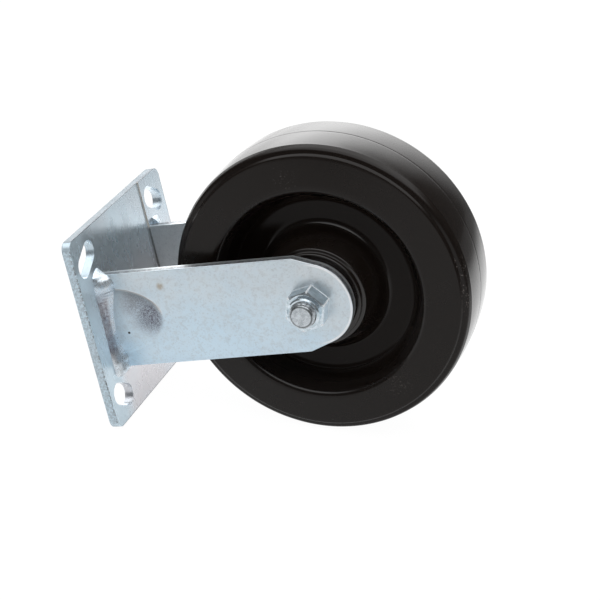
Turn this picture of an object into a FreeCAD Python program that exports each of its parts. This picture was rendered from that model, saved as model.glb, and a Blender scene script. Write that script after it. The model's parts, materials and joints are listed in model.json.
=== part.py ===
"""Fixed castor: slotted top plate, two welded legs, wheel on a caged roller bearing.

Frame in millimetres: origin at the centre of the top plate's mounting face, +Z up out of
that face, +X the way the castor rolls, +Y along the axle.  The nut is on the -Y side.
"""
import math
import os
import re

import FreeCAD
import Part
import Sketcher
from FreeCAD import Placement, Rotation, Vector

SIZES = {
    # top plate
    "plate_length": 101.6,
    "plate_width": 114.3,
    "plate_thickness": 4.76,
    "plate_corner_radius": 5.0,
    "plate_edge_round": 0.6,
    "strip_height": 0.7,
    "strip_inner_y": 30.6,
    # diagonal bolt slots, by how far the centres of their two end rounds lie inside the plate's edges
    "slot_outer_inset_x": 15.9,
    "slot_outer_inset_y": 9.55,
    "slot_inner_inset_x": 11.1,
    "slot_inner_inset_y": 18.25,
    "slot_radius": 5.75,
    # legs
    "axle_drop": 112.7,
    "leg_thickness": 4.76,
    "leg_inner_y": 31.2,
    "leg_foot_half_width": 25.4,
    "leg_end_half_width": 24.6,
    "leg_corner_rise": 4.6,
    "leg_end_radius": 21.5,
    "leg_edge_round": 0.4,
    "leg_hole_clearance": 0.15,
    # outward pressing at each foot
    "dome_half_width": 18.0,
    "dome_depth": 29.5,
    "dome_rise": 2.4,
    "dome_sink": 1.1,
    # weld beads
    "weld_bow_radius": 106.0,
    "weld_half_angle": 15.4,
    "weld_plate_reach": 6.8,
    "weld_leg_reach": 6.4,
    "weld_throat_reach": 2.6,
    "weld_root": 2.2,
    "weld_end_round": 1.6,
    "weld_wrap": 2.4,
    # wheel
    "wheel_radius": 76.2,
    "crown_drop": 0.3,
    "crown_half_width": 17.5,
    "shoulder_drop": 1.8,
    "shoulder_half_width": 21.2,
    "rim_bead_drop": 5.2,
    "rim_bead_half_width": 22.4,
    "rim_lip_radius": 53.7,
    "rim_lip_half_width": 25.2,
    "rim_wall_foot_radius": 46.6,
    "web_half_thickness": 9.6,
    "hub_base_radius": 32.6,
    "hub_face_radius": 24.6,
    "hub_half_length": 28.6,
    "shoulder_round": 3.0,
    "bead_round": 0.8,
    "lip_round": 1.6,
    "web_round": 3.0,
    "hub_round": 1.6,
    # bearing
    "race_inner_radius": 15.08,
    "shell_thickness": 1.5,
    "shell_clearance": 0.02,
    "shell_inset": 0.5,
    "sleeve_radius": 9.525,
    "sleeve_bore_clearance": 0.15,
    "roller_clearance": 0.05,
    "roller_half_length": 24.0,
    "roller_end_round": 0.5,
    "roller_count": 8,
    "cage_clearance": 0.4,
    "cage_end_thickness": 2.4,
    "cage_pocket_clearance": 0.12,
    "cage_end_play": 0.3,
    # thrust washers
    "washer_radius": 20.6,
    "washer_thickness": 2.2,
    "washer_bore_clearance": 0.12,
    # axle bolt and nut
    "bolt_radius": 6.35,
    "bolt_point_chamfer": 1.1,
    "bolt_end_reach": 14.6,
    "bolt_head_height": 7.9,
    "hex_across_flats": 19.05,
    "hex_chamfer_radius": 9.1,
    "hex_chamfer_rise": 0.9,
    "nut_hex_height": 8.8,
    "nut_corner_angle": 43.6,
    "head_corner_angle": 30.0,
    "nut_collar_radius": 8.1,
    "nut_collar_height": 2.4,
    "nut_collar_wall": 0.7,
    "nut_lip_height": 0.5,
    "nut_thread_clearance": 0.03,
    "insert_clearance": 0.02,
}

ZERO = "0 * axle_drop"
SHOULDER_RADIUS = "(wheel_radius - shoulder_drop)"
RIM_BEAD_RADIUS = "(wheel_radius - rim_bead_drop)"
ROLLER_RADIUS = "((race_inner_radius - sleeve_radius) / 2 - roller_clearance)"
PITCH_RADIUS = "((race_inner_radius + sleeve_radius) / 2)"
LEG_FACE = "(leg_inner_y + leg_thickness)"
HEX_CORNER = "(hex_across_flats / sqrt(3))"
UPRIGHT = Vector(0, 0, 1)

doc = FreeCAD.newDocument("fixed_castor")


def make_sheet():
    sheet = doc.addObject("Spreadsheet::Sheet", "Sizes")
    for row, (alias, value) in enumerate(SIZES.items(), start=1):
        sheet.set(f"A{row}", alias.replace("_", " "))
        sheet.set(f"B{row}", str(value))
        sheet.setAlias(f"B{row}", alias)
    doc.recompute()
    return sheet


def s(text):
    """An expression in words of SIZES, with each such word read from the sheet."""

    def from_sheet(word):
        return "Sizes." + word.group() if word.group() in SIZES else word.group()

    return re.sub("[a-z_]+", from_sheet, text)


def body(name):
    made = doc.addObject("PartDesign::Body", name)
    made.Label = name
    return made


def size_of(text):
    """The present value of an expression in words of SIZES."""
    return float(doc.Sizes.evalExpression(text))


def sketch_on(owner, name, role, offset=None):
    sketch = owner.newObject("Sketcher::SketchObject", name)
    plane = next(f for f in owner.Origin.OriginFeatures if f.Role == role)
    sketch.AttachmentSupport = [(plane, "")]
    sketch.MapMode = "FlatFace"
    if offset:
        sketch.setExpression("AttachmentOffset.Base.z", s(offset))
    return sketch


def pin_point(sketch, line, end, across, up):
    """Ties one point of a line or arc to the sketch origin by two driven distances."""
    now = sketch.getPoint(line, end)
    for kind, value, text in (("DistanceX", now.x, across), ("DistanceY", now.y, up)):
        index = sketch.addConstraint(Sketcher.Constraint(kind, -1, 1, line, end, value))
        sketch.setExpression(f"Constraints[{index}]", s(text))


def pin_radius(sketch, curve, text):
    """Drives the radius of a circle or arc."""
    value = sketch.Geometry[curve].Radius
    index = sketch.addConstraint(Sketcher.Constraint("Radius", curve, value))
    sketch.setExpression(f"Constraints[{index}]", s(text))


def outline(sketch, points):
    """A closed outline of straight lines; each corner is a pair of driven distances."""
    count = len(points)
    start = [Vector(size_of(across), size_of(up), 0) for across, up in points]
    first = sketch.GeometryCount
    for i in range(count):
        sketch.addGeometry(Part.LineSegment(start[i], start[(i + 1) % count]), False)
    for i in range(count):
        after = first + (i + 1) % count
        sketch.addConstraint(Sketcher.Constraint("Coincident", first + i, 2, after, 1))
    for i, (across, up) in enumerate(points):
        pin_point(sketch, first + i, 1, across, up)


def pad(owner, name, sketch, length, reverse=False):
    made = owner.newObject("PartDesign::Pad", name)
    made.Profile = sketch
    made.setExpression("Length", s(length))
    made.Reversed = reverse
    doc.recompute()
    return made


def revolve(owner, name, sketch):
    made = owner.newObject("PartDesign::Revolution", name)
    made.Profile = sketch
    made.ReferenceAxis = (sketch, ["V_Axis"])
    made.Angle = 360
    doc.recompute()
    return made


def round_edges(owner, name, base, chosen, radius):
    """Rounds the edges of base for which chosen(edge) holds."""
    names = [f"Edge{i}" for i, edge in enumerate(base.Shape.Edges, start=1) if chosen(edge)]
    made = owner.newObject("PartDesign::Fillet", name)
    made.Base = (base, names)
    made.setExpression("Radius", s(radius))
    doc.recompute()
    return made


def ring_at(radius, half_width):
    """Picks the circles of a turned part at plus and minus half_width along the axle."""

    def chosen(edge):
        curve = edge.Curve
        if not isinstance(curve, Part.Circle) or abs(curve.Radius - radius) > 0.01:
            return False
        return abs(abs(curve.Center.y) - half_width) < 0.01

    return chosen


def on_axle(owner):
    owner.setExpression("Placement.Base.z", s("-1 * axle_drop"))


def turned(name, points):
    """A body turned about the axle line from an outline of (radius, y) corners."""
    made = body(name)
    sketch = sketch_on(made, name + "_section", "XY_Plane")
    outline(sketch, points)
    revolve(made, name + "_turn", sketch)
    on_axle(made)
    return made


def boolean(kind, name, base, tool):
    made = doc.addObject(kind, name)
    made.Base = base
    made.Tool = tool
    made.Label = name
    doc.recompute()
    return made


def make_plate():
    plate = body("top_plate")
    half_x = "plate_length / 2"
    half_y = "plate_width / 2"
    sketch = sketch_on(plate, "plate_outline", "XY_Plane")
    outline(sketch, [
        ("-1 * " + half_x, "-1 * " + half_y),
        (half_x, "-1 * " + half_y),
        (half_x, half_y),
        ("-1 * " + half_x, half_y),
    ])
    slab = pad(plate, "plate_slab", sketch, "plate_thickness", reverse=True)
    strip = sketch_on(plate, "strip_outline", "XY_Plane", "-1 * plate_thickness")
    outline(strip, [
        ("-1 * " + half_x, "strip_inner_y"),
        (half_x, "strip_inner_y"),
        (half_x, half_y),
        ("-1 * " + half_x, half_y),
    ])
    slab = pad(plate, "plate_strip", strip, "strip_height", reverse=True)

    def upright(edge):
        box = edge.BoundBox
        outer = abs(abs(box.Center.x) - SIZES["plate_length"] / 2) < 0.01
        far = abs(abs(box.Center.y) - SIZES["plate_width"] / 2) < 0.01
        return outer and far and box.ZLength > 1

    slab = round_edges(plate, "plate_corners", slab, upright, "plate_corner_radius")

    def rim(edge):
        box = edge.BoundBox
        top = box.ZMin > -0.01
        reach = max(abs(box.Center.x) / SIZES["plate_length"], abs(box.Center.y) / SIZES["plate_width"])
        return top and reach > 0.4

    round_edges(plate, "plate_rim", slab, rim, "plate_edge_round")
    for side_x in (1, -1):
        for side_y in (1, -1):
            cut_slot(plate, side_x, side_y)
    return plate


def cut_slot(plate, side_x, side_y):
    """One diagonal slot, in the corner of the plate named by two signs."""
    label = f"slot_{'front' if side_x > 0 else 'rear'}_{'far' if side_y > 0 else 'near'}"
    sketch = sketch_on(plate, label + "_outline", "XY_Plane")
    radius = SIZES["slot_radius"]
    centres = []
    for end in ("outer", "inner"):
        across = f"{side_x} * (plate_length / 2 - slot_{end}_inset_x)"
        centres.append((across, f"{side_y} * (plate_width / 2 - slot_{end}_inset_y)"))
    first, second = (Vector(size_of(across), size_of(up), 0) for across, up in centres)
    along = (second - first).normalize()
    side = Vector(-along.y, along.x, 0) * radius
    angle = math.atan2(side.y, side.x)
    round_start = Part.Circle(first, UPRIGHT, radius)
    round_end = Part.Circle(second, UPRIGHT, radius)
    for curve in (
        Part.ArcOfCircle(round_start, angle, angle + math.pi),
        Part.LineSegment(first - side, second - side),
        Part.ArcOfCircle(round_end, angle - math.pi, angle),
        Part.LineSegment(second + side, first + side),
    ):
        sketch.addGeometry(curve, False)
    for curve in range(4):
        sketch.addConstraint(Sketcher.Constraint("Tangent", curve, 2, (curve + 1) % 4, 1))
    for arc, (across, up) in zip((0, 2), centres):
        pin_point(sketch, arc, 3, across, up)
        pin_radius(sketch, arc, "slot_radius")
    cut = plate.newObject("PartDesign::Pocket", label)
    cut.Profile = sketch
    cut.Type = "ThroughAll"
    cut.Midplane = True
    doc.recompute()


def make_leg_bar():
    """The flat bar of a leg, on the -Y side, with its round end and axle hole."""
    bar = body("leg_bar")
    sketch = sketch_on(bar, "leg_outline", "XZ_Plane", "leg_inner_y")
    drop, radius = SIZES["axle_drop"], SIZES["leg_end_radius"]
    corner = Vector(SIZES["leg_end_half_width"], SIZES["leg_corner_rise"] - drop, 0)
    centre = Vector(0, -drop, 0)
    reach = corner - centre
    lean = math.atan2(reach.y, reach.x) - math.acos(radius / reach.Length)
    touch = centre + Vector(radius * math.cos(lean), radius * math.sin(lean), 0)
    foot = Vector(SIZES["leg_foot_half_width"], -SIZES["plate_thickness"], 0)

    def left(point):
        return Vector(-point.x, point.y, 0)

    arc = Part.ArcOfCircle(Part.Circle(centre, UPRIGHT, radius), math.pi - lean, 2 * math.pi + lean)
    for shape in (
        Part.LineSegment(left(foot), foot),
        Part.LineSegment(foot, corner),
        Part.LineSegment(corner, touch),
        arc,
        Part.LineSegment(left(touch), left(corner)),
        Part.LineSegment(left(corner), left(foot)),
    ):
        sketch.addGeometry(shape, False)
    for one, one_end, other, other_end in ((0, 2, 1, 1), (1, 2, 2, 1), (4, 2, 5, 1), (5, 2, 0, 1)):
        sketch.addConstraint(Sketcher.Constraint("Coincident", one, one_end, other, other_end))
    sketch.addConstraint(Sketcher.Constraint("Tangent", 2, 2, 3, 2))
    sketch.addConstraint(Sketcher.Constraint("Tangent", 3, 1, 4, 1))
    pin_point(sketch, 0, 1, "-1 * leg_foot_half_width", "-1 * plate_thickness")
    pin_point(sketch, 1, 1, "leg_foot_half_width", "-1 * plate_thickness")
    pin_point(sketch, 2, 1, "leg_end_half_width", "leg_corner_rise - axle_drop")
    pin_point(sketch, 5, 1, "-1 * leg_end_half_width", "leg_corner_rise - axle_drop")
    pin_point(sketch, 3, 3, ZERO, "-1 * axle_drop")
    pin_radius(sketch, 3, "leg_end_radius")
    hole = sketch.addGeometry(Part.Circle(centre, UPRIGHT, SIZES["bolt_radius"]), False)
    pin_point(sketch, hole, 3, ZERO, "-1 * axle_drop")
    pin_radius(sketch, hole, "bolt_radius + leg_hole_clearance")
    slab = pad(bar, "leg_slab", sketch, "leg_thickness")

    def outer_rim(edge):
        box = edge.BoundBox
        outer = box.YMax < -(SIZES["leg_inner_y"] + SIZES["leg_thickness"]) + 0.01
        side = max(abs(box.Center.x), -box.Center.z - SIZES["axle_drop"]) > SIZES["bolt_radius"] * 2
        return outer and side and box.ZMin < -SIZES["plate_thickness"] - 0.01

    round_edges(bar, "leg_edges", slab, outer_rim, "leg_edge_round")
    return bar


def make_dome():
    """Half an egg, flat on the plate, whose cap stands out of a leg's foot; the rest is in the leg."""
    former = doc.addObject("Part::Ellipsoid", "dome")
    grown = " / sqrt(1 - (dome_sink / (dome_rise + dome_sink)) ^ 2)"
    former.setExpression("Radius1", s("dome_depth" + grown))
    former.setExpression("Radius2", s("dome_half_width" + grown))
    former.setExpression("Radius3", s("dome_rise + dome_sink"))
    former.Angle1 = -90
    former.Angle2 = 0
    former.setExpression("Placement.Base.y", s(f"dome_sink - {LEG_FACE}"))
    former.setExpression("Placement.Base.z", s("-1 * plate_thickness"))
    doc.recompute()
    return former


def make_bead():
    """A fillet bead along a foot, swept on a wide arc so that it follows the pressing."""
    bead = body("weld_form")
    bead.setExpression("Placement.Base.y", s(f"weld_bow_radius - {LEG_FACE} - dome_rise"
                                            " - weld_plate_reach"))
    sketch = sketch_on(bead, "weld_section", "YZ_Plane")
    toe = "weld_bow_radius"
    outline(sketch, [
        (f"-1 * ({toe} - weld_plate_reach - dome_rise - weld_root)", "-1 * plate_thickness"),
        (f"-1 * {toe}", "-1 * plate_thickness"),
        (f"-1 * ({toe} - weld_throat_reach)", "-1 * (plate_thickness + weld_throat_reach)"),
        (f"-1 * ({toe} - weld_plate_reach)", "-1 * (plate_thickness + weld_leg_reach)"),
        (f"-1 * ({toe} - weld_plate_reach - dome_rise - weld_root)",
         "-1 * (plate_thickness + weld_leg_reach)"),
    ])
    turn = bead.newObject("PartDesign::Revolution", "weld_turn")
    turn.Profile = sketch
    turn.ReferenceAxis = (sketch, ["V_Axis"])
    turn.setExpression("Angle", s("2 * weld_half_angle"))
    turn.Midplane = True
    doc.recompute()

    def end_edge(edge):
        box = edge.BoundBox
        out = box.YMax < -SIZES["weld_bow_radius"] * 0.85
        low = box.ZMax < -SIZES["plate_thickness"] - 0.01 or box.ZLength > 1
        return out and low and box.XLength < 5 and abs(box.Center.x) > 20

    round_edges(bead, "weld_ends", turn, end_edge, "weld_end_round")
    return bead


def limit_bead(bead):
    """Keeps the bead from wrapping more than weld_wrap round the ends of the foot."""
    limits = doc.addObject("Part::Box", "weld_limits")
    limits.setExpression("Length", s("plate_length"))
    limits.setExpression("Width", s("weld_plate_reach + dome_rise + weld_wrap + weld_root"))
    limits.setExpression("Height", s("axle_drop"))
    limits.setExpression("Placement.Base.x", s("-1 * plate_length / 2"))
    limits.setExpression("Placement.Base.y", s(f"weld_wrap - {LEG_FACE} - weld_plate_reach"
                                              " - dome_rise - weld_wrap - weld_root"))
    limits.setExpression("Placement.Base.z", s("-1 * plate_thickness - axle_drop"))
    doc.recompute()
    return boolean("Part::Common", "weld_limited", bead, limits)


def make_wheel():
    half = [
        ("shell_outer", "hub_half_length"),
        ("hub_face_radius", "hub_half_length"),
        ("hub_base_radius", "web_half_thickness"),
        ("rim_wall_foot_radius", "web_half_thickness"),
        ("rim_lip_radius", "rim_lip_half_width"),
        (RIM_BEAD_RADIUS, "rim_bead_half_width"),
        (SHOULDER_RADIUS, "shoulder_half_width"),
        ("wheel_radius - crown_drop", "crown_half_width"),
    ]
    shell_outer = "race_inner_radius + shell_thickness + shell_clearance"
    half = [(r.replace("shell_outer", shell_outer), y) for r, y in half]
    low = [(r, "-1 * " + y) for r, y in half]
    wheel = turned("wheel", low + [("wheel_radius", ZERO)] + half[::-1])
    made = wheel.Tip
    for name, radius, half_width, size in (
        ("hub_rim", "hub_face_radius", "hub_half_length", "hub_round"),
        ("hub_foot", "hub_base_radius", "web_half_thickness", "web_round"),
        ("wall_foot", "rim_wall_foot_radius", "web_half_thickness", "web_round"),
        ("lip", "rim_lip_radius", "rim_lip_half_width", "lip_round"),
        ("bead", RIM_BEAD_RADIUS, "rim_bead_half_width", "bead_round"),
        ("shoulder", "wheel_radius - crown_drop", "crown_half_width", "shoulder_round"),
    ):
        ring = ring_at(size_of(radius), SIZES[half_width])
        made = round_edges(wheel, "wheel_" + name, made, ring, size)
    return wheel


def make_bearing():
    """The pressed-in shell, the roller cage and the rollers; the list starts with the shell."""
    end = "(hub_half_length - shell_inset)"
    shell = turned("bearing_shell", [
        ("race_inner_radius", f"-1 * {end}"),
        ("race_inner_radius + shell_thickness", f"-1 * {end}"),
        ("race_inner_radius + shell_thickness", end),
        ("race_inner_radius", end),
    ])
    cage_end = "(roller_half_length + cage_end_play + cage_end_thickness)"
    cage = turned("bearing_cage", [
        ("sleeve_radius + cage_clearance", f"-1 * {cage_end}"),
        ("race_inner_radius - cage_clearance", f"-1 * {cage_end}"),
        ("race_inner_radius - cage_clearance", cage_end),
        ("sleeve_radius + cage_clearance", cage_end),
    ])
    cut_pockets(cage)
    count = SIZES["roller_count"]
    rollers = [make_roller(index, 360 / count * index) for index in range(count)]
    return [shell, cage] + rollers


def cut_pockets(cage):
    sketch = sketch_on(cage, "pocket_outline", "XZ_Plane", "-1 * (roller_half_length + cage_end_play)")
    outer, inner = SIZES["race_inner_radius"], SIZES["sleeve_radius"]
    circle = Part.Circle(Vector((outer + inner) / 2, 0, 0), UPRIGHT, (outer - inner) / 2)
    sketch.addGeometry(circle, False)
    pin_point(sketch, 0, 3, PITCH_RADIUS, ZERO)
    pin_radius(sketch, 0, ROLLER_RADIUS + " + cage_pocket_clearance")
    pocket = cage.newObject("PartDesign::Pocket", "pocket")
    pocket.Profile = sketch
    pocket.Reversed = True
    pocket.setExpression("Length", s("2 * (roller_half_length + cage_end_play)"))
    doc.recompute()
    pattern = cage.newObject("PartDesign::PolarPattern", "pockets")
    pattern.Originals = [pocket]
    axis = next(f for f in cage.Origin.OriginFeatures if f.Role == "Y_Axis")
    pattern.Axis = (axis, [""])
    pattern.Angle = 360
    pattern.setExpression("Occurrences", s("roller_count"))
    cage.Tip = pattern
    doc.recompute()


def make_roller(index, degrees):
    """One roller, turned about its own line and set on the pitch circle."""
    name = f"roller_{index + 1}"
    end = "roller_half_length"
    inset = ROLLER_RADIUS + " - roller_end_round"
    roller = turned(name, [
        (ZERO, f"-1 * {end}"),
        (inset, f"-1 * {end}"),
        (ROLLER_RADIUS, f"-1 * ({end} - roller_end_round)"),
        (ROLLER_RADIUS, f"{end} - roller_end_round"),
        (inset, end),
        (ZERO, end),
    ])
    roller.setExpression("Placement.Base.x", s(f"{PITCH_RADIUS} * cos({degrees} deg)"))
    roller.setExpression("Placement.Base.z", s(f"{PITCH_RADIUS} * sin({degrees} deg) - axle_drop"))
    return roller


def make_axle():
    sleeve = turned("spanner_sleeve", [
        ("bolt_radius + sleeve_bore_clearance", "-1 * leg_inner_y"),
        ("sleeve_radius", "-1 * leg_inner_y"),
        ("sleeve_radius", "leg_inner_y"),
        ("bolt_radius + sleeve_bore_clearance", "leg_inner_y"),
    ])
    washers = []
    for name, sign in (("near_thrust_washer", "-1"), ("far_thrust_washer", "1")):
        washers.append(turned(name, [
            ("sleeve_radius + washer_bore_clearance", f"{sign} * (leg_inner_y - washer_thickness)"),
            ("washer_radius", f"{sign} * (leg_inner_y - washer_thickness)"),
            ("washer_radius", f"{sign} * leg_inner_y"),
            ("sleeve_radius + washer_bore_clearance", f"{sign} * leg_inner_y"),
        ]))
    return [sleeve] + washers


def hexagon(owner, name, offset, height, reverse):
    """Pads a hexagon of the common size across flats, its first corner at its own angle."""
    sketch = sketch_on(owner, name + "_outline", "XZ_Plane", offset)
    corners = []
    for k in range(6):
        angle = f"(({60 * k} + {name}_corner_angle) * 1 deg)"
        corners.append((f"{HEX_CORNER} * cos({angle})", f"{HEX_CORNER} * sin({angle})"))
    outline(sketch, corners)
    return pad(owner, name + "_block", sketch, height, reverse)


def trim_hexagon(owner, name, sign, top):
    """Takes the hexagon's outer corners off in a cone; top is its height along the axle."""
    sketch = sketch_on(owner, name + "_chamfer_section", "XY_Plane")
    outline(sketch, [
        ("hex_chamfer_radius", f"{sign} * ({top})"),
        (f"2 * {HEX_CORNER} - hex_chamfer_radius", f"{sign} * ({top})"),
        (f"2 * {HEX_CORNER} - hex_chamfer_radius", f"{sign} * ({top} - 2 * hex_chamfer_rise)"),
    ])
    groove = owner.newObject("PartDesign::Groove", name + "_chamfer")
    groove.Profile = sketch
    groove.ReferenceAxis = (sketch, ["V_Axis"])
    groove.Angle = 360
    doc.recompute()
    return groove


def make_bolt():
    bolt = body("axle_bolt")
    hexagon(bolt, "head", "-1 * " + LEG_FACE, "bolt_head_height", True)
    trim_hexagon(bolt, "head", "1", LEG_FACE + " + bolt_head_height")
    sketch = sketch_on(bolt, "shank_section", "XY_Plane")
    tip = f"-1 * ({LEG_FACE} + bolt_end_reach)"
    outline(sketch, [
        (ZERO, tip),
        ("bolt_radius - bolt_point_chamfer", tip),
        ("bolt_radius", tip + " + bolt_point_chamfer"),
        ("bolt_radius", LEG_FACE),
        (ZERO, LEG_FACE),
    ])
    revolve(bolt, "shank", sketch)
    on_axle(bolt)
    return bolt


def make_nut():
    nut = body("lock_nut")
    seat = f"({LEG_FACE} + nut_hex_height)"
    top = f"({seat} + nut_collar_height)"
    hexagon(nut, "nut", LEG_FACE, "nut_hex_height", False)
    trim_hexagon(nut, "nut", "-1", LEG_FACE + " + nut_hex_height")
    sketch = sketch_on(nut, "collar_section", "XY_Plane")
    cup = "nut_collar_radius - 2 * nut_collar_wall"
    outline(sketch, [
        ("nut_collar_radius", f"-1 * {seat}"),
        ("nut_collar_radius", f"-1 * ({top} - nut_lip_height)"),
        ("nut_collar_radius - nut_collar_wall", f"-1 * {top}"),
        (cup, f"-1 * {top}"),
        (cup, f"-1 * {seat}"),
    ])
    revolve(nut, "collar", sketch)
    thread = "bolt_radius + nut_thread_clearance"
    bore = sketch_on(nut, "nut_bore_section", "XY_Plane")
    outline(bore, [
        (ZERO, "-1 * " + LEG_FACE),
        (thread, "-1 * " + LEG_FACE),
        (thread, "-1 * " + seat),
        (ZERO, "-1 * " + seat),
    ])
    groove = nut.newObject("PartDesign::Groove", "nut_bore")
    groove.Profile = bore
    groove.ReferenceAxis = (bore, ["V_Axis"])
    groove.Angle = 360
    doc.recompute()
    on_axle(nut)
    insert = turned("nut_insert", [
        (thread, f"-1 * {seat}"),
        (f"{cup} - insert_clearance", f"-1 * {seat}"),
        (f"{cup} - insert_clearance", f"-1 * ({top} - nut_lip_height)"),
        (thread, f"-1 * ({top} - nut_lip_height)"),
    ])
    return [nut, insert]


def check(parts):
    for item in doc.Objects:
        if {"Invalid", "Error"} & set(item.State):
            raise RuntimeError(f"{item.Name} did not build: {item.State}")
    for part in parts:
        shape = part.Shape
        if shape.isNull() or not shape.isValid() or len(shape.Solids) != 1:
            raise RuntimeError(f"{part.Label} is not one sound solid")
        print(f"{part.Label:20s} {shape.Volume / 1000:9.3f} cm3")


def main():
    make_sheet()
    plate = make_plate()
    bar = make_leg_bar()
    dome = make_dome()
    near_leg = boolean("Part::Fuse", "near_leg", bar, dome)
    bead = limit_bead(make_bead())
    near_weld = boolean("Part::Cut", "near_weld", bead, near_leg)
    half_turn = Placement(Vector(0, 0, 0), Rotation(Vector(0, 0, 1), 180))
    turned_leg = boolean("Part::Fuse", "far_leg_form", bar, dome)
    turned_weld = boolean("Part::Cut", "far_weld_form", bead, near_leg)
    for form in (turned_leg, turned_weld):
        form.Placement = half_turn
    far_leg = boolean("Part::Cut", "far_leg", turned_leg, plate)
    far_weld = boolean("Part::Cut", "far_weld", turned_weld, plate)
    parts = [plate, near_leg, far_leg, near_weld, far_weld, make_wheel()]
    parts += make_bearing() + make_axle() + [make_bolt()] + make_nut()
    doc.recompute()
    check(parts)
    os.makedirs("parts", exist_ok=True)
    for part in parts:
        part.Shape.exportStep(f"parts/{part.Label}.step")


main()
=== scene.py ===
"""Looks of a fixed castor that lies on its side: zinc plated plate, legs and bolt, black moulded wheel.

Metres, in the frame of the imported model: origin at the centre of the plate's mounting face,
+Z up out of that face, +X the way the castor rolls, +Y along the axle, the nut on -Y. The outlines of
the wheel, bolt and welds are given in millimetres and scaled when their mesh is made.
"""
import json
import math

import bmesh
import bpy
import numpy as np
from mathutils import Matrix, Vector


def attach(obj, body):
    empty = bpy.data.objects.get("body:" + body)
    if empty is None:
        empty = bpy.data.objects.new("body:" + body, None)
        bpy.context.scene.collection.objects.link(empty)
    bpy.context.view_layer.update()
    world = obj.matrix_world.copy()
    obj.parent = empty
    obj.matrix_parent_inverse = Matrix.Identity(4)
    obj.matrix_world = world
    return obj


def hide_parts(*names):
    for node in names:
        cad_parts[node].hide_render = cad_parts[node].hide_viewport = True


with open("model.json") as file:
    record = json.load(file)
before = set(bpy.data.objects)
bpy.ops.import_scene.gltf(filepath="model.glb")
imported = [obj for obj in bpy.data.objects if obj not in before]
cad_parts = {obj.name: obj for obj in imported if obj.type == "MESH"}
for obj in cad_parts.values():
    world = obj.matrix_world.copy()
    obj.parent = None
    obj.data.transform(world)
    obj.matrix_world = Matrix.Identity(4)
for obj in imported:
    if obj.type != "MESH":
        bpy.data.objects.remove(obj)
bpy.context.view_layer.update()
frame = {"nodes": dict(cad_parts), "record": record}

MM = 0.001
PLATE_THICKNESS = 4.76 * MM
PLATE_HALF_X = 50.8 * MM
PLATE_HALF_Y = 57.15 * MM
STRIP_Y = 30.6 * MM
LEG_FACE = 35.96 * MM
LEG_RIM_RADIUS = 20.8 * MM
AXLE_Z = -112.7 * MM
WHEEL_RADIUS = 76.2 * MM

# the pressed half oval at a leg's foot, and the crease round it where a highlight is painted, as half width
# and depth
DOME_OVAL = (17.5 * MM, 29.0 * MM)
CREASE_HIGHLIGHT_OVAL = (17.8 * MM, 29.2 * MM)

# marks as (x, z, radius) in millimetres, on the legs and on the wheel; the first two place the painted shade
# on the pressing
DOME_SHADE_NOSE = (2.0, -29.0, 15.0)
DOME_SHADE_FLANK = (9.0, -22.0, 12.0)
STAINED = (16.6, -36.7, 3.0)
PINHOLE = (-6.1, -14.2, 0.8)
SCRATCHED = (61.0, -109.0, 9.0)
SCUFFED = (-51.0, -145.0, 9.0)
NICKED = (-2.0, -185.0, 17.0)
RUBBED = (61.0, -162.5, 5.0)

# directions of three of the nut's flats, in degrees from +X towards +Z
NUT_FLATS = (13.6, 73.6, 133.6)

# the colour of the painted highlights on the legs' crease and rim
PAINTED_HIGHLIGHT_ZINC = (0.97, 0.98, 1.0)


class Value:
    """A socket in a node tree; Python's operators on it add Math nodes."""

    def __init__(self, shader, socket):
        self.shader = shader
        self.socket = socket

    def _math(self, operation, *inputs):
        return self.shader.node("ShaderNodeMath", {"operation": operation}, *inputs)

    def __add__(self, other):
        return self._math("ADD", self, other)

    def __radd__(self, other):
        return self._math("ADD", other, self)

    def __sub__(self, other):
        return self._math("SUBTRACT", self, other)

    def __rsub__(self, other):
        return self._math("SUBTRACT", other, self)

    def __mul__(self, other):
        return self._math("MULTIPLY", self, other)

    def __rmul__(self, other):
        return self._math("MULTIPLY", other, self)

    def __truediv__(self, other):
        return self._math("DIVIDE", self, other)

    def __pow__(self, other):
        return self._math("POWER", self, other)

    def abs(self):
        return self._math("ABSOLUTE", self)

    def larger(self, other):
        return self._math("MAXIMUM", self, other)

    def smaller(self, other):
        return self._math("MINIMUM", self, other)

    def ramp(self, low, high, at_low=0.0, at_high=1.0):
        """Goes smoothly from at_low to at_high as the value goes from low to high."""
        settings = {"interpolation_type": "SMOOTHSTEP", "clamp": True}
        return self.shader.node("ShaderNodeMapRange", settings, self, low, high, at_low, at_high)


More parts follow.
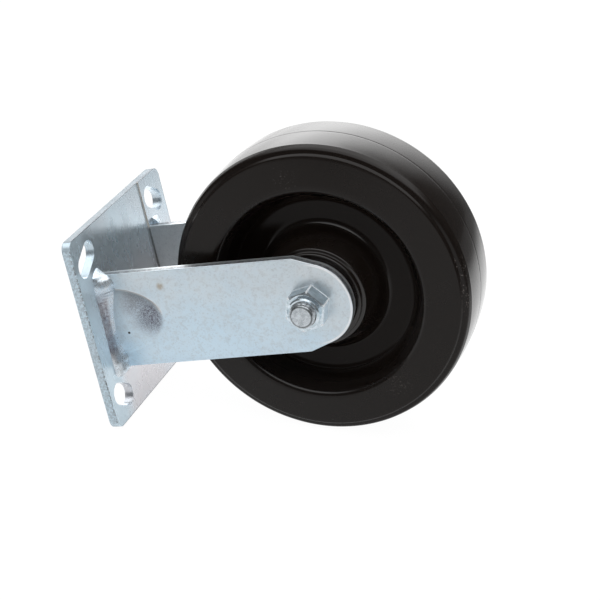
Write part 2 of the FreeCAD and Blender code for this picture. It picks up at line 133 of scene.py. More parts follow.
class Shader:
    """A node tree whose nodes are added by name of type, settings and inputs."""

    def __init__(self, name, tree=None, coordinates="Object"):
        if tree is None:
            self.material = bpy.data.materials.new(name)
            self.material.use_nodes = True
            tree = self.material.node_tree
        self.tree = tree
        self.tree.nodes.clear()
        self.coordinates = self.node("ShaderNodeTexCoord", {}, output=coordinates)
        split = self.node("ShaderNodeSeparateXYZ", {}, self.coordinates, output=None)
        self.x, self.y, self.z = (Value(self, socket) for socket in split.outputs)

    def node(self, kind, settings, *inputs, output=0, **named):
        """Adds a node, makes its settings, then gives its inputs in order and by name.

        An input left at None keeps its own value, and a colour of three parts gets an alpha of 1.
        """
        made = self.tree.nodes.new(kind)
        for key, value in settings.items():
            setattr(made, key, value)
        slots = list(zip(made.inputs, inputs))
        slots += [(made.inputs[name.replace("_", " ")], value) for name, value in named.items()]
        for slot, value in slots:
            if value is None:
                continue
            if isinstance(value, Value):
                self.tree.links.new(value.socket, slot)
            elif slot.type == "RGBA":
                slot.default_value = (*value[:3], 1.0)
            else:
                slot.default_value = value
        return made if output is None else Value(self, made.outputs[output])

    def noise(self, scale, detail=2.0, roughness=0.5, stretch=(1, 1, 1), distortion=0.0):
        """Noise in the tree's coordinates, scale in cycles a metre, stretched along the axes."""
        place = self.node("ShaderNodeMapping", {}, self.coordinates, None, None, stretch)
        settings = {"noise_dimensions": "3D", "normalize": True}
        return self.node("ShaderNodeTexNoise", settings, Vector=place, Scale=scale, Detail=detail,
                         Roughness=roughness, Distortion=distortion)

    def mix(self, share, first, second):
        """A colour that goes from first to second with share, on the node's colour sockets."""
        return self.node("ShaderNodeMix", {"data_type": "RGBA"}, share, *[None] * 5, first, second, output=2)

    def grey(self, level, most):
        """The grey of a level between 0 and most."""
        return self.mix(level / most, (0.0, 0.0, 0.0), (most, most, most))

    def dot(self, vector, axis):
        """How far a vector goes along an axis."""
        return self.node("ShaderNodeVectorMath", {"operation": "DOT_PRODUCT"}, vector, tuple(axis),
                         output="Value")

    def bump(self, height, distance, strength=1.0):
        return self.node("ShaderNodeBump", {}, Strength=strength, Distance=distance, Height=height)

    def close(self, shader_end, kind="ShaderNodeOutputMaterial"):
        """Ends the tree with its output."""
        self.node(kind, {}, shader_end, output=None)

    def finish(self, color, metallic, roughness, normal, **constants):
        """Closes the material with the main shader; constants go on its sockets by name."""
        self.close(self.node("ShaderNodeBsdfPrincipled", {}, Base_Color=color, Metallic=metallic,
                             Roughness=roughness, Normal=normal, **constants))
        return self.material


def from_axle(m):
    """Distance from the axle's line: the root of x squared plus the squared height above the axle."""
    up = m.z - AXLE_Z
    return (m.x * m.x + up * up) ** 0.5


def spot(m, place, edge=0.5):
    """1 near an (x, z, radius) place in mm, falling to 0 at its radius from edge times the radius."""
    x, z, radius = (MM * part for part in place)
    across = m.x - x
    up = m.z - z
    return ((across * across + up * up) ** 0.5).ramp(radius * edge, radius, 1.0, 0.0)


def oval(m, half_width, depth):
    """1 on a half oval that hangs from the plate: the squared shares of its half width and depth."""
    across = m.x / half_width
    down = (m.z + PLATE_THICKNESS) / depth
    return across * across + down * down


def plate_zinc():
    """The plate's zinc, with the torn and dulled band that shearing leaves along its edges.

    The underside is bluer towards its near and +X edges, and has a painted line where the far strip begins:
    painted shade below x = 24 mm and a painted highlight beyond.
    """
    m = Shader("plate_zinc")
    cloud = m.noise(34.0, 3.0, 0.55)
    fine = m.noise(900.0, 3.0, 0.6)
    drawn = m.noise(120.0, 3.0, 0.6, stretch=(0.5, 1, 1))
    torn = m.noise(750.0, 4.0, 0.75)
    below_top = m.z.ramp(-0.0003, -0.0001, 1.0, 0.0)
    blue = m.y.ramp(-0.046, -0.032, 1.0, 0.1).larger(m.x.ramp(0.0, 0.03, 0.0, 0.8)) * below_top
    blue = blue + cloud.ramp(0.3, 0.7, -0.15, 0.15) + (1.0 - below_top) * 0.4
    color = m.mix(blue, (0.68, 0.67, 0.70), (0.64, 0.78, 0.87))
    color = m.mix(fine.ramp(0.30, 0.46, 0.22, 0.0), color, (0.40, 0.41, 0.45))
    end = (m.x.abs() - (PLATE_HALF_X - 0.0004)).ramp(0.0, 0.0003)
    side = (m.y.abs() - (PLATE_HALF_Y - 0.0004)).ramp(0.0, 0.0003)
    edge = end.larger(side)
    arris = (m.z + PLATE_THICKNESS).ramp(0.0002, 0.0013, 1.0, 0.0)
    on_underside = m.z.ramp(-0.0046, -0.0043, 1.0, 0.0)
    painted_strip_line = (m.y - STRIP_Y).abs().ramp(0.0002, 0.0004, 1.0, 0.0) * on_underside
    color = m.mix(end * 0.75, color, (0.20, 0.23, 0.25))
    color = m.mix(edge * torn.ramp(0.42, 0.58) * (arris * 0.6 + 0.35), color, (0.16, 0.17, 0.19))
    # painted shade on the far strip's step below x = 24 mm, then a painted highlight beyond it, not metallic
    # there
    color = m.mix(painted_strip_line * m.x.ramp(0.024, 0.026, 0.8, 0.0), color, (0.05, 0.05, 0.05))
    color = m.mix(painted_strip_line * m.x.ramp(0.024, 0.026, 0.0, 0.7), color, (0.72, 0.66, 0.58))
    metallic = (m.y.ramp(-0.046, -0.038, -0.23, 0.0) * below_top + 0.68) * (1.0 - painted_strip_line)
    roughness = drawn.ramp(0.3, 0.7, 0.22, 0.30) + edge * 0.14 + end * 0.1
    height = drawn * 0.4 + fine * 0.2 + edge * torn * 3.0
    return m.finish(color, metallic, roughness, m.bump(height, 0.00005, 0.6))


def leg_zinc():
    """The legs' zinc: mottled blue and grey, pitted and given painted shade on the pressing, sheared grey
    round the edge.

    The crease on the pressing's +X side and the rim of the leg's end have painted highlights. The near leg
    has a brown stain and a pinhole on its outer face.
    """
    m = Shader("leg_zinc")
    cloud = m.noise(30.0, 3.0, 0.6)
    mottle = m.noise(330.0, 4.0, 0.65)
    fine = m.noise(1100.0, 2.0, 0.6)
    drawn = m.noise(150.0, 3.0, 0.6, stretch=(1, 1, 0.3))
    pitted = m.noise(1900.0, 2.0, 0.6)
    shear = m.noise(600.0, 4.0, 0.7, stretch=(1, 0.5, 1))
    outside = (m.y.abs() - (LEG_FACE - 0.0006)).ramp(0.0, 0.0004)
    blue = m.x.ramp(-0.025, 0.025, 1.0, 0.45) - m.z.ramp(-0.125, -0.07, 0.35, 0.0)
    blue = blue + cloud.ramp(0.3, 0.7, -0.2, 0.2) + mottle.ramp(0.3, 0.7, -0.08, 0.08)
    color = m.mix(blue * outside, (0.70, 0.74, 0.76), (0.67, 0.83, 0.95))
    tarnish = cloud.ramp(0.50, 0.66) * mottle.ramp(0.45, 0.65) * m.x.ramp(0.0, 0.02)
    color = m.mix(tarnish * 0.3, color, (0.42, 0.38, 0.33))
    color = m.mix(mottle.ramp(0.36, 0.50, 0.18, 0.0), color, (0.40, 0.44, 0.47))
    color = m.mix(fine.ramp(0.30, 0.46, 0.26, 0.0), color, (0.38, 0.41, 0.44))
    rim_highlight = (from_axle(m) - LEG_RIM_RADIUS).abs().ramp(0.0002, 0.0007, 1.0, 0.0)
    # painted highlight along the lower half of the rim of the leg's end
    color = m.mix(rim_highlight * m.z.ramp(-0.120, -0.112, 1.0, 0.0) * 0.8, color, PAINTED_HIGHLIGHT_ZINC)
    crease_highlight = (oval(m, *CREASE_HIGHLIGHT_OVAL) - 1.0).abs().ramp(0.02, 0.06, 1.0, 0.0)
    # painted highlight along the crease on the pressing's +X side
    color = m.mix(crease_highlight * m.x.ramp(0.0, 0.005) * outside * 0.85, color, PAINTED_HIGHLIGHT_ZINC)
    dome = oval(m, *DOME_OVAL).ramp(0.85, 1.1, 1.0, 0.0) * outside
    dome_shade = spot(m, DOME_SHADE_NOSE, 0.2).larger(spot(m, DOME_SHADE_FLANK, 0.2) * 0.7)
    # painted shade on the pressing's nose and +X flank, speckled by its pitting
    color = m.mix(dome * dome_shade * pitted.ramp(0.42, 0.58, 1.0, 0.5), color, (0.17, 0.17, 0.21))
    near = m.y.ramp(-0.001, 0.001, 1.0, 0.0) * outside
    stain = near * spot(m, STAINED, 0.2) * mottle.ramp(0.35, 0.60)
    color = m.mix(stain * 0.75, color, (0.40, 0.32, 0.22))
    color = m.mix(near * spot(m, PINHOLE, 0.6), color, (0.03, 0.03, 0.03))
    cut = (1.0 - outside) * (m.y.abs() - 0.0325).ramp(0.0, 0.0005)
    color = m.mix(cut * shear.ramp(0.40, 0.60, 0.9, 0.5), color, (0.20, 0.21, 0.23))
    roughness = drawn.ramp(0.3, 0.7, 0.29, 0.38) + dome * 0.05 + (1.0 - outside) * 0.05
    height = drawn * 0.4 + fine * 0.6 + mottle * 1.2 + dome * pitted * 0.5 + (1.0 - outside) * shear
    return m.finish(color, 0.84, roughness, m.bump(height, 0.00005, 0.6))


def wheel_black():
    """Moulded black plastic, smoother on the tread than on the sides.

    Its clear coat is full on the hub, half on the recess's lip, thin outside that and absent on the web.
    Grey flecks mark where it has been scratched, scuffed and nicked, and dust lies on it here and
    there. A rubbed line crosses the far half of the tread.
    """
    m = Shader("wheel_black")
    cloud = m.noise(35.0, 4.0, 0.6)
    grain = m.noise(1500.0, 2.0, 0.5)
    flow = m.noise(45.0, 2.0, 0.5)
    wiggle = m.noise(75.0, 3.0, 0.6, stretch=(0.5, 1, 1), distortion=0.8)
    flecks = m.noise(900.0, 4.0, 0.75)
    line = (wiggle - 0.5).abs().ramp(0.004, 0.013, 1.0, 0.0)
    near = m.y.ramp(-0.012, -0.008, 1.0, 0.0)
    scratched = near * spot(m, SCRATCHED, 0.1) * flecks.ramp(0.56, 0.70)
    scuffed = near * spot(m, SCUFFED, 0.2) * flecks.ramp(0.54, 0.66)
    shoulder = (m.y.abs() - 0.0200).abs().ramp(0.0012, 0.0022, 1.0, 0.0)
    nicked = near * spot(m, NICKED, 0.7) * shoulder * flecks.ramp(0.57, 0.67)
    dust = flecks.ramp(0.66, 0.76) * cloud.ramp(0.45, 0.65)
    worn = scratched * 0.4 + scuffed * 0.3 + nicked * 0.9 + dust * 0.3
    color = m.mix(worn, (0.0085, 0.0058, 0.0045), (0.16, 0.14, 0.13))
    rubbed = spot(m, RUBBED, 0.2) * line * m.y.ramp(0.0, 0.002) * 1.5
    off_tread = (m.y.abs() - 0.0175).ramp(-0.0006, 0.0006)
    roughness = off_tread.ramp(0.0, 1.0, 0.15, 0.27) + cloud.ramp(0.3, 0.7, -0.02, 0.04)
    roughness = roughness + worn * 0.25 + rubbed * 0.25
    height = grain * 0.6 + flow * 0.8 - worn * 2.0
    out = from_axle(m)
    lip = (out - 0.0500).abs().ramp(0.0025, 0.0050, 0.5, 0.0)
    coat = out.ramp(0.049, 0.054, 0.0, 0.25) + out.ramp(0.031, 0.035, 1.0, 0.0) + lip
    return m.finish(color, 0.0, roughness, m.bump(height, 0.00003, 0.5), Specular_IOR_Level=0.12,
                    Coat_Weight=coat, Coat_Roughness=0.11)


def plain_steel(name, color, roughness_low, roughness_high):
    """A turned or ground piece: fine rings of tool marks round the axle."""
    m = Shader(name)
    rings = m.noise(900.0, 2.0, 0.5, stretch=(0.15, 1, 0.15))
    cloud = m.noise(60.0, 2.0, 0.5)
    deep = tuple(0.82 * part for part in color)
    tone = m.mix(cloud.ramp(0.35, 0.65), deep, color)
    roughness = rings.ramp(0.3, 0.7, roughness_low, roughness_high)
    return m.finish(tone, 1.0, roughness, m.bump(rings, 0.00003, 0.5))


def bolt_zinc():
    """The bolt's zinc: clouded, with a painted dark reflection as a ring inside the chamfer of its cut tip.
    """
    m = Shader("bolt_zinc")
    cloud = m.noise(500.0, 3.0, 0.6)
    at_tip = m.y.ramp(-0.04, -0.039, 1.0, 0.0)
    ring = (from_axle(m) - 0.0053).abs().ramp(0.0002, 0.0006, 1.0, 0.0) * at_tip
    color = m.mix(cloud.ramp(0.35, 0.65), (0.46, 0.50, 0.53), (0.70, 0.75, 0.80))
    # painted dark reflection as a ring on the tip's chamfer
    color = m.mix(ring * 0.8, color, (0.07, 0.08, 0.08))
    return m.finish(color, 0.85, cloud.ramp(0.3, 0.7, 0.20, 0.36), m.bump(cloud, 0.00004, 0.6))


def nut_zinc():
    """The lock nut's zinc, with painted highlights along the hexagon's corners and round its foot.

    Across a corner the two nearest flats lie equally far from the axle: there the largest and the
    middle of the three distances along the flats' directions are alike.
    """
    m = Shader("nut_zinc")
    up = m.z - AXLE_Z
    turns = [math.radians(degrees) for degrees in NUT_FLATS]
    first, second, third = ((m.x * math.cos(turn) + up * math.sin(turn)).abs() for turn in turns)
    largest = first.larger(second).larger(third)
    smallest = first.smaller(second).smaller(third)
    middle = first + second + third - largest - smallest
    on_hexagon = largest.ramp(0.0085, 0.0090)
    corner = (largest - middle).ramp(0.0002, 0.0008, 1.0, 0.0) * on_hexagon
    foot_highlight = m.y.ramp(-0.0369, -0.0365) * on_hexagon
    painted_highlight = corner.larger(foot_highlight)
    cloud = m.noise(400.0, 3.0, 0.6)
    color = m.mix(cloud.ramp(0.35, 0.65), (0.58, 0.68, 0.74), (0.78, 0.87, 0.94))
    # painted highlight on the corners and round the foot, less metallic there
    color = m.mix(painted_highlight * 0.75, color, (0.96, 0.98, 1.0))
    roughness = cloud.ramp(0.3, 0.7, 0.10, 0.20)
    return m.finish(color, painted_highlight.ramp(0.0, 1.0, 0.9, 0.3), roughness, m.bump(cloud, 0.00004, 0.6))


def moulded_nylon(name, color):
    """Cloudy off-white plastic."""
    m = Shader(name)
    cloud = m.noise(120.0, 3.0, 0.5)
    deep = tuple(0.85 * part for part in color)
    tone = m.mix(cloud.ramp(0.3, 0.7), deep, color)
    return m.finish(tone, 0.0, cloud.ramp(0.3, 0.7, 0.38, 0.52), m.bump(cloud, 0.00005, 0.4))


def weld_zinc():
    """The weld's zinc: bright with a grey grain at its ends, sooty and bubbly on its middle."""
    m = Shader("weld_zinc")
    bubbles = m.noise(1500.0, 3.0, 0.7)
    cloud = m.noise(110.0, 3.0, 0.6)
    grain = m.noise(480.0, 4.0, 0.65)
    middle = m.x.abs().ramp(0.012, 0.022, 1.0, 0.0)
    flank = m.y.abs().ramp(0.0388, 0.0412)
    color = m.mix(cloud.ramp(0.35, 0.65), (0.70, 0.84, 0.96), (0.86, 0.92, 0.97))
    soot = (middle * flank * 0.95).larger(middle * 0.22) * bubbles.ramp(0.40, 0.62, 0.95, 0.3)
    color = m.mix(soot, color, (0.16, 0.12, 0.14))
    ends = m.x.abs().ramp(0.019, 0.024)
    color = m.mix(ends * grain.ramp(0.42, 0.58) * 0.6, color, (0.36, 0.41, 0.44))
    roughness = bubbles.ramp(0.3, 0.7, 0.36, 0.24)
    return m.finish(color, 0.72, roughness, m.bump(bubbles * (middle * 0.8 + 0.1), 0.0001, 0.6))


FINISHES = {
    "plate_zinc": plate_zinc(),
    "leg_zinc": leg_zinc(),
    "weld_zinc": weld_zinc(),
    "wheel_black": wheel_black(),
    "bearing_steel": plain_steel("bearing_steel", (0.60, 0.60, 0.60), 0.16, 0.26),
    "cage_nylon": moulded_nylon("cage_nylon", (0.72, 0.68, 0.58)),
    "sleeve_steel": plain_steel("sleeve_steel", (0.55, 0.55, 0.55), 0.18, 0.30),
    "washer_zinc": plain_steel("washer_zinc", (0.50, 0.51, 0.53), 0.28, 0.40),
    "bolt_zinc": bolt_zinc(),
    "nut_zinc": nut_zinc(),
    "insert_nylon": moulded_nylon("insert_nylon", (0.75, 0.75, 0.70)),
}


def dress_nodes():
    """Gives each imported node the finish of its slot."""
    slots = {part["node"]: part["material_slot"] for part in frame["record"]["subparts"]}
    for name, node in frame["nodes"].items():
        node.data.materials.clear()
        node.data.materials.append(FINISHES[slots[name]])


# the camera, fitted to the photograph: focal length and centre in its pixels, then its pose
IMAGE_SIZE = 600
FOCAL_PIXELS = 1686.56
CENTRE_PIXELS = (273.38, 303.70)
TURN = (1.12485, -0.82692, -1.75910)
SHIFT = (-75.389 * MM, -5.123 * MM, 887.243 * MM)


def make_camera():
    """Turns the fitted camera, with y down and z forward, into Blender's, with y up and z back."""
    axis = Vector(TURN)
    turn = Matrix.Rotation(axis.length, 3, axis.normalized())
    place = -(turn.transposed() @ Vector(SHIFT))
    flip = Matrix(((1, 0, 0), (0, -1, 0), (0, 0, -1)))
    facing = (flip @ turn).transposed().to_4x4()
    lens = bpy.data.cameras.new("camera")
    lens.sensor_width = 36.0
    lens.lens = FOCAL_PIXELS * lens.sensor_width / IMAGE_SIZE
    lens.shift_x = (IMAGE_SIZE / 2 - CENTRE_PIXELS[0]) / IMAGE_SIZE
    lens.shift_y = (CENTRE_PIXELS[1] - IMAGE_SIZE / 2) / IMAGE_SIZE
    camera = bpy.data.objects.new("camera", lens)
    camera.matrix_world = Matrix.Translation(place) @ facing
    bpy.context.scene.collection.objects.link(camera)
    bpy.context.scene.camera = camera


def resting_plane():
    """The table that the castor lies on: it touches the plate's -X edge and the wheel's tread."""
    corner = Vector((-PLATE_HALF_X, 0, 0))
    centre = Vector((0, 0, AXLE_Z))
    reach = centre - corner
    lean = math.atan2(reach.z, reach.x) - math.asin(WHEEL_RADIUS / reach.length)
    along = Vector((math.cos(lean), 0, math.sin(lean)))
    up = Vector((-along.z, 0, along.x))
    return corner, up


# the table: half its side, its gap below the castor, and its white as the camera sees it; then what
# reflections see of it, which goes with the distance in front and fades to the right
TABLE_HALF = 2.5
TABLE_GAP = 0.3 * MM
TABLE_GLOW = 1.05
TABLE_SHINE_REACH = (-0.08, 0.10)
TABLE_SHINE = (1.5, 0.83)
TABLE_END = (0.30, 0.60)


def make_table(corner, up, toward_camera):
    """The table it lies on: white, a faint shadow kept, greyer to reflections further in front."""
    across = up.cross(toward_camera)
    corners = [corner - TABLE_GAP * up + TABLE_HALF * (a * toward_camera + b * across)
               for a, b in ((-1, -1), (-1, 1), (1, 1), (1, -1))]
    mesh = bpy.data.meshes.new("table")
    mesh.from_pydata([tuple(place) for place in corners], [], [(3, 2, 1, 0)])
    table = bpy.data.objects.new("table", mesh)
    bpy.context.scene.collection.objects.link(table)

    m = Shader("table_white")
    in_front = m.dot(m.coordinates, toward_camera)
    to_right = m.dot(m.coordinates, across)
    rays = m.node("ShaderNodeLightPath", {}, output=None)
    seen = Value(m, rays.outputs["Is Camera Ray"])
    glossy = Value(m, rays.outputs["Is Glossy Ray"])
    shine = in_front.ramp(*TABLE_SHINE_REACH, *TABLE_SHINE) * to_right.ramp(*TABLE_END, 1.0, 0.1)
    glow = m.mix(glossy, (TABLE_GLOW,) * 3, m.grey(shine, max(TABLE_SHINE)))
    diffuse = m.node("ShaderNodeBsdfDiffuse", {}, (0.8, 0.8, 0.8))
    white = m.node("ShaderNodeEmission", {}, glow, 1.0)
    lit = m.node("ShaderNodeMixShader", {}, (seen * 0.93).larger(glossy * 0.9), diffuse, white)
    back = m.node("ShaderNodeNewGeometry", {}, output="Backfacing")
    clear = m.node("ShaderNodeBsdfTransparent", {})
    m.close(m.node("ShaderNodeMixShader", {}, back, lit, clear))
    mesh.materials.append(m.material)


# the room: the backdrop's level, its share at the table's height and the heights over which that
# grows to full, its spread to the sides and the heights over which its top fades, all as shares of
# the distance behind; then the ceiling's level, the heights over which it comes in, and the walls
BACKDROP = 4.0
BACKDROP_AT_TABLE = 0.52
BACKDROP_FOOT = (0.0, 0.30)
BACKDROP_SPREAD = (0.0, 0.95)
BACKDROP_TOP = (0.50, 0.85)
CEILING = 1.9
CEILING_HEIGHT = (0.55, 0.75)
WALLS = 0.10


def make_room(up, toward_camera):
    """White to the camera; else a bright backdrop behind, a ceiling light and dim walls."""
    world = bpy.data.worlds.new("room")
    bpy.context.scene.world = world
    world.use_nodes = True
    m = Shader(None, world.node_tree, "Generated")
    height = m.dot(m.coordinates, up)
    behind = m.dot(m.coordinates, -toward_camera)
    aside = m.dot(m.coordinates, up.cross(toward_camera)).abs()
    ahead = behind.larger(0.001)
    backdrop = (aside / ahead).ramp(*BACKDROP_SPREAD, 1.0, 0.0)
    backdrop = backdrop * (height / ahead).ramp(*BACKDROP_TOP, 1.0, 0.0)
    backdrop = backdrop * (height / ahead).ramp(*BACKDROP_FOOT, BACKDROP_AT_TABLE, 1.0)
    level = height.ramp(*CEILING_HEIGHT, WALLS, CEILING).larger(backdrop * BACKDROP)
    seen = m.node("ShaderNodeLightPath", {}, output="Is Camera Ray")
    color = m.mix(seen, m.grey(level, BACKDROP), (1.0, 1.0, 1.0))
    m.close(m.node("ShaderNodeBackground", {}, color, 1.0), "ShaderNodeOutputWorld")


def make_stage():
    """Table and room, upright as the castor lies."""
    corner, up = resting_plane()
    toward = bpy.context.scene.camera.matrix_world.to_3x3() @ Vector((0, 0, 1))
    toward_camera = (toward - up * toward.dot(up)).normalized()
    make_table(corner, up, toward_camera)
    make_room(up, toward_camera)


def surface(name, points, slot, body, caps=True):
    """A piece from a grid of points, rings by columns by xyz, with each ring joined to itself.

    Caps close the first and last rings with a fan to their middles.
    """
    rows, columns = points.shape[:2]
    places = points.reshape(-1, 3)
    ring = np.arange(columns)
    beside = (ring + 1) % columns
    row, column = np.meshgrid(np.arange(rows - 1), ring, indexing="ij")
    after = (column + 1) % columns
    quads = np.stack([row * columns + column, row * columns + after,
                      (row + 1) * columns + after, (row + 1) * columns + column], -1)
    faces = quads.reshape(-1, 4).tolist()
    if caps:
        places = np.vstack([places, points[0].mean(0), points[-1].mean(0)])
        first = np.stack([np.full(columns, rows * columns), beside, ring], -1)
        top = (rows - 1) * columns
        last = np.stack([np.full(columns, rows * columns + 1), top + ring, top + beside], -1)
        faces += first.tolist() + last.tolist()
    mesh = bpy.data.meshes.new(name)
    mesh.from_pydata(places.tolist(), [], faces)
    mesh.update()
    piece = bpy.data.objects.new(name, mesh)
    bpy.context.scene.collection.objects.link(piece)
    mesh.polygons.foreach_set("use_smooth", np.ones(len(mesh.polygons), bool))
    mesh.materials.append(FINISHES[slot])
    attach(piece, body)
    return piece


SHARP_DEGREES = 35


def outward(piece):
    """Turns all faces outwards, then splits shading at edges sharper than SHARP_DEGREES."""
    mesh = piece.data
    shape = bmesh.new()
    shape.from_mesh(mesh)
    bmesh.ops.recalc_face_normals(shape, faces=shape.faces)
    shape.to_mesh(mesh)
    shape.free()
    mesh.set_sharp_from_angle(angle=math.radians(SHARP_DEGREES))


def round_about_axle(radius, angle, y):
    """Points in millimetres from their radius and angle about the axle and their place along it."""
    return np.stack([radius * np.cos(angle), y, radius * np.sin(angle) + AXLE_Z / MM], -1)


def rounded(corners, steps=7):
    """A path through (radius, y, rounding) corners, each rounding an arc tangent to its two sides.

    The arc's centre lies on the corner's bisector, rounding / sin(half the angle) from the corner.
    """
    path = []
    for before, (r, y, rounding), after in zip([None] + corners[:-1], corners, corners[1:] + [None]):
        corner = np.array([r, y], float)
        if not rounding or before is None or after is None:
            path.append(corner)
            continue
        back = np.array(before[:2]) - corner
        ahead = np.array(after[:2]) - corner
        back /= np.linalg.norm(back)
        ahead /= np.linalg.norm(ahead)
        half = math.acos(np.clip(back @ ahead, -1, 1)) / 2
        middle = (back + ahead) / np.linalg.norm(back + ahead)
        centre = corner + middle * rounding / math.sin(half)
        start = corner + back * rounding / math.tan(half) - centre
        end = corner + ahead * rounding / math.tan(half) - centre
        sweep = math.atan2(start[0] * end[1] - start[1] * end[0], start @ end)
        for share in np.linspace(0, 1, steps + 1):
            turn = sweep * share
            spin = np.array([[math.cos(turn), -math.sin(turn)], [math.sin(turn), math.cos(turn)]])
            path.append(centre + spin @ start)
    return np.array(path)


def refined(path, longest):
    """The same path with its long straight runs cut into steps no longer than the given one."""
    out = [path[0]]
    for start, end in zip(path[:-1], path[1:]):
        count = max(1, math.ceil(np.linalg.norm(end - start) / longest))
        out += [start + (end - start) * k / count for k in range(1, count + 1)]
    return np.array(out)


def ripple(angle, place, seed, terms=14, finest=40):
    """Smooth wandering between about -1 and 1: a sum of sines round the angle and along the place."""
    random = np.random.default_rng(seed)
    total = 0
    for _ in range(terms):
        turns = random.integers(1, finest)
        slant = random.uniform(-0.9, 0.9) * turns * 12
        total = total + np.sin(turns * angle + slant * place + random.uniform(0, 6.28))
    return total / math.sqrt(terms)


# the wheel's half section from bore to tread, as (radius, y, rounding)
WHEEL_SIDE = [
    (16.6, 28.6, 0.3),
    (23.4, 28.6, 0.7),
    (23.9, 26.6, 0.4),
    (25.3, 26.3, 0.7),
    (32.6, 9.6, 5.0),
    (46.6, 9.6, 5.5),
    (53.7, 25.2, 3.4),
    (71.2, 22.5, 1.2),
    (72.0, 21.2, 0.4),
    (74.4, 20.6, 2.2),
    (75.5, 17.3, 1.5),
]
WHEEL_CROWN = 76.2
WHEEL_COLUMNS = 360
SECTION_STEP = 1.6
TREAD_INNER = 75.49
CROWN_BELLY = 0.0024
CROWN_HALF_WIDTH = 16.5
PARTING_DEPTH = 0.10
PARTING_HALF_WIDTH = 0.22
PARTING_PLACES = (-0.5, -0.3, -0.15, 0.0, 0.15, 0.3, 0.5)
PARTING_GAP = 0.6
WHEEL_RIPPLE = 0.012


def make_wheel():
    """The moulded wheel, a rounded section turned about the axle.

    On the tread the radius is the crown's less the belly times y squared. A narrow bell at the parting
    line, y = 0, lowers it, and a slow ripple of about a hundredth of a millimetre moves the rim.
    """
    near = [(r, -y, rounding) for r, y, rounding in WHEEL_SIDE]
    path = refined(rounded(near + [(WHEEL_CROWN, 0.0, 0.0)] + WHEEL_SIDE[::-1]), SECTION_STEP)
    at_parting = (path[:, 0] > TREAD_INNER) & (np.abs(path[:, 1]) <= PARTING_GAP)
    first = np.argmax(at_parting)
    beside = path[~at_parting]
    parting = np.array([(WHEEL_CROWN, y) for y in PARTING_PLACES])
    path = np.vstack([beside[:first], parting, beside[first:]])
    angle = np.arange(WHEEL_COLUMNS) * 2 * math.pi / WHEEL_COLUMNS
    radius = path[:, :1] + 0 * angle
    y = path[:, 1:] + 0 * angle
    turn = angle + 0 * y
    on_tread = (np.abs(y) < CROWN_HALF_WIDTH) & (radius > 75)
    radius = np.where(on_tread, WHEEL_CROWN - CROWN_BELLY * y ** 2, radius)
    radius = radius - PARTING_DEPTH * np.exp(-(y / PARTING_HALF_WIDTH) ** 2) * (radius > 70)
    outer = np.clip((radius - 60) / 10, 0, 1)
    radius = radius + WHEEL_RIPPLE * ripple(turn, 0 * y, 3) * outer
    points = round_about_axle(radius, turn, y)
    points = np.concatenate([points, points[:1]], 0)
    piece = surface("moulded_wheel", points * MM, "wheel_black", "wheel", caps=False)
    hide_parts("wheel")
    outward(piece)


BOLT_COLUMNS = 96
BOLT_TIP = -50.56
BOLT_RADIUS = 6.35
THREAD_PITCH = 1.954
THREAD_DEPTH = 0.95
THREAD_END = -32.0
THREAD_STEP = 0.11
HEX_FLAT = 9.525
HEAD_FOOT = LEG_FACE / MM
HEAD_TOP = 43.86
HEAD_RINGS = 22
HEAD_CORNER_DEGREES = 30.0


def hex_radius(angle, first_corner):
    """Distance from the axis to a hexagon's side: the flat's distance over the cosine to its middle."""
    sixth = math.pi / 3
    offset = (angle - math.radians(first_corner)) % sixth - sixth / 2
    return HEX_FLAT / np.cos(offset)


def make_bolt():
    """The axle bolt: rings of points along its axis, from the cut tip through thread, shank and head.

    On the thread each ring's radius is the bolt's less a flattened zigzag of its turn and place; near
    the tip a cone limits it, and on the head it is the hexagon's, limited by the chamfer's cone.
    """
    angle = np.arange(BOLT_COLUMNS) * 2 * math.pi / BOLT_COLUMNS
    ring = np.ones((1, BOLT_COLUMNS))
    along = np.arange(BOLT_TIP + 0.02, THREAD_END, THREAD_STEP)[:, None]
    phase = (angle / (2 * math.pi) + (along - BOLT_TIP) / THREAD_PITCH) % 1.0
    groove = np.clip(1.9 * np.abs(2 * phase - 1) - 0.45, 0, 1)
    tip_cone = 0.82 * BOLT_RADIUS + (along - BOLT_TIP) * 1.1
    thread = np.minimum(BOLT_RADIUS - THREAD_DEPTH * (1 - groove), tip_cone)
    hexagon = hex_radius(angle, HEAD_CORNER_DEGREES) * ring
    up_head = np.linspace(HEAD_FOOT + 0.6, HEAD_TOP, HEAD_RINGS)[:, None]
    head = np.minimum(hexagon, HEX_FLAT * 0.955 + (HEAD_TOP - up_head) * 1.9)
    rings = [
        (0.12 * BOLT_RADIUS * ring, BOLT_TIP + 0.05),
        (0.80 * BOLT_RADIUS * ring, BOLT_TIP),
        (thread, along),
        (BOLT_RADIUS * ring, THREAD_END + 0.3),
        (BOLT_RADIUS * ring, 0.0),
        (BOLT_RADIUS * ring, HEAD_FOOT),
        (HEX_FLAT * 0.97 * ring, HEAD_FOOT),
        (HEX_FLAT * 0.97 * ring, HEAD_FOOT + 0.3),
        (hexagon - 0.05, HEAD_FOOT + 0.35),
        (head, up_head),
        (HEX_FLAT * 0.90 * ring, HEAD_TOP),
        (HEX_FLAT * 0.15 * ring, HEAD_TOP - 0.02),
    ]
    radius = np.vstack([radii for radii, _ in rings])
    y = np.vstack([place + 0 * radii for radii, place in rings])
    piece = surface("axle_bolt_threaded", round_about_axle(radius, angle + 0 * y, y) * MM,
                    "bolt_zinc", "frame")
    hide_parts("axle_bolt")
    outward(piece)


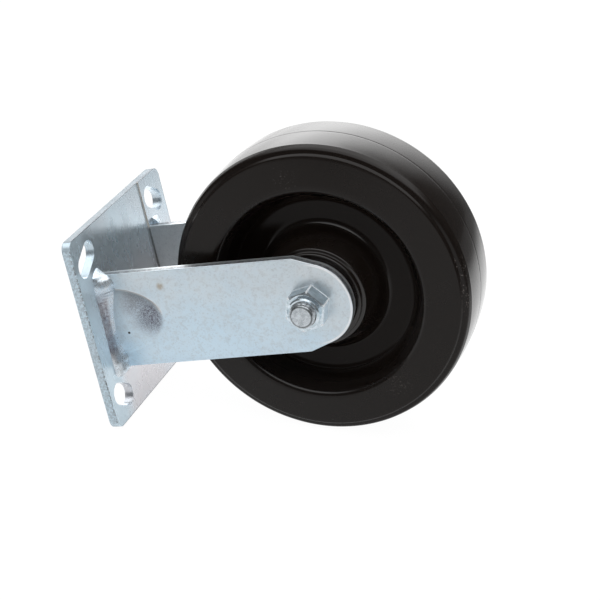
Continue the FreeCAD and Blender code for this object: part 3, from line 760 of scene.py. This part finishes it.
# the near weld's two toes, each as (x, distance): from the middle along the plate, and below its top
WELD_FROM = -28.6
WELD_TO = 29.6
WELD_PLATE_TOE = (
    (-28.6, 41.0), (-27.6, 44.3), (-25.5, 45.8), (-15.7, 45.7), (-4.0, 45.5), (6.7, 44.9),
    (15.7, 44.3), (22.1, 44.0), (26.5, 43.2), (28.4, 40.5), (29.3, 37.8), (29.6, 36.6),
)
WELD_LEG_TOE = (
    (-28.6, 5.6), (-27.6, 7.2), (-25.3, 9.0), (-20.2, 9.6), (-17.4, 8.6), (-11.3, 7.4),
    (-5.4, 7.0), (2.0, 8.2), (10.5, 9.6), (17.0, 11.4), (20.5, 12.2), (23.5, 11.2),
    (26.0, 8.6), (28.4, 6.4), (29.6, 5.2),
)
DOME_HALF_WIDTH = 18.0
DOME_RISE = 2.4


def toe_line(places, length):
    """The toe's distance at each length, straight between its places, then smoothed three times."""
    at, distance = np.array(places).T
    line = np.interp(length, at, distance)
    for _ in range(3):
        line[1:-1] = (line[:-2] + 2 * line[1:-1] + line[2:]) / 4
    return line


def make_weld(name, node, seed, turned):
    """A weld bead along a leg's foot, in sections from the plate's toe to the leg's.

    A section is a parabola between its toes, hollow where hollow is positive and full where it is
    negative, with a shallow wander, and near the +X end crescent ripples, sines of the length bent by
    the share squared. Turned, it is the same bead half a turn round for the far leg.
    """
    length = np.linspace(WELD_FROM, WELD_TO, 320)
    share = np.linspace(0, 1, 32)
    wander = 0.15 * ripple(length / 14, 0 * length, seed, 8, 5)
    plate_y = toe_line(WELD_PLATE_TOE, length) + wander
    leg_drop = toe_line(WELD_LEG_TOE, length) + 0.8 * wander
    across = np.clip(1 - (length / DOME_HALF_WIDTH) ** 2, 0, 1)
    leg_y = LEG_FACE / MM + DOME_RISE * across ** 0.6 - 0.15
    x = length[:, None] + 0 * share
    v = share[None, :]
    top = PLATE_THICKNESS / MM - 0.1
    hollow = (0.30 * np.exp(-((length - 2) / 16) ** 4) - 0.25)[:, None]
    sag = hollow * 2 * v * (1 - v)
    y = plate_y[:, None] * (1 - v) + leg_y[:, None] * v - sag * (plate_y - leg_y)[:, None]
    drop = top + (leg_drop - top)[:, None] * (v - sag)
    to_end = np.minimum(length - WELD_FROM, WELD_TO - length)
    ends = np.clip(to_end / 3.0, 0, 1)[:, None] ** 0.5
    bent = x / 1.5 + 1.4 * (v - 0.5) ** 2 + 0.15 * ripple(length / 9, 0, seed + 1, 6, 5)[:, None]
    crest = (0.5 + 0.5 * np.sin(2 * math.pi * bent)) ** 2
    rippled = 0.015 + 0.20 * np.exp(-((x - 18) / 5) ** 2) * v ** 2
    uneven = 0.10 * ripple(x / 16, v / 6, seed + 2, 14, 6)
    lift = np.sin(math.pi * v) ** 0.7 * (rippled * crest + uneven) * ends
    y = y + 0.68 * lift
    z = -drop - 0.73 * lift
    back = np.stack([length, LEG_FACE / MM - 0.2 + 0 * length, -top + 0 * length], -1)[:, None]
    points = np.concatenate([np.stack([x, y, z], -1), back], 1)
    points[..., 1] *= -1
    if turned:
        points[..., :2] *= -1
    piece = surface(name, points * MM, "weld_zinc", "frame")
    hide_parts(node)
    outward(piece)


dress_nodes()
make_wheel()
make_bolt()
make_weld("near_weld_bead", "near_weld", 11, False)
make_weld("far_weld_bead", "far_weld", 23, True)
make_camera()
make_stage()

scene = bpy.context.scene
scene.view_settings.view_transform = "Standard"
bpy.context.view_layer.update()
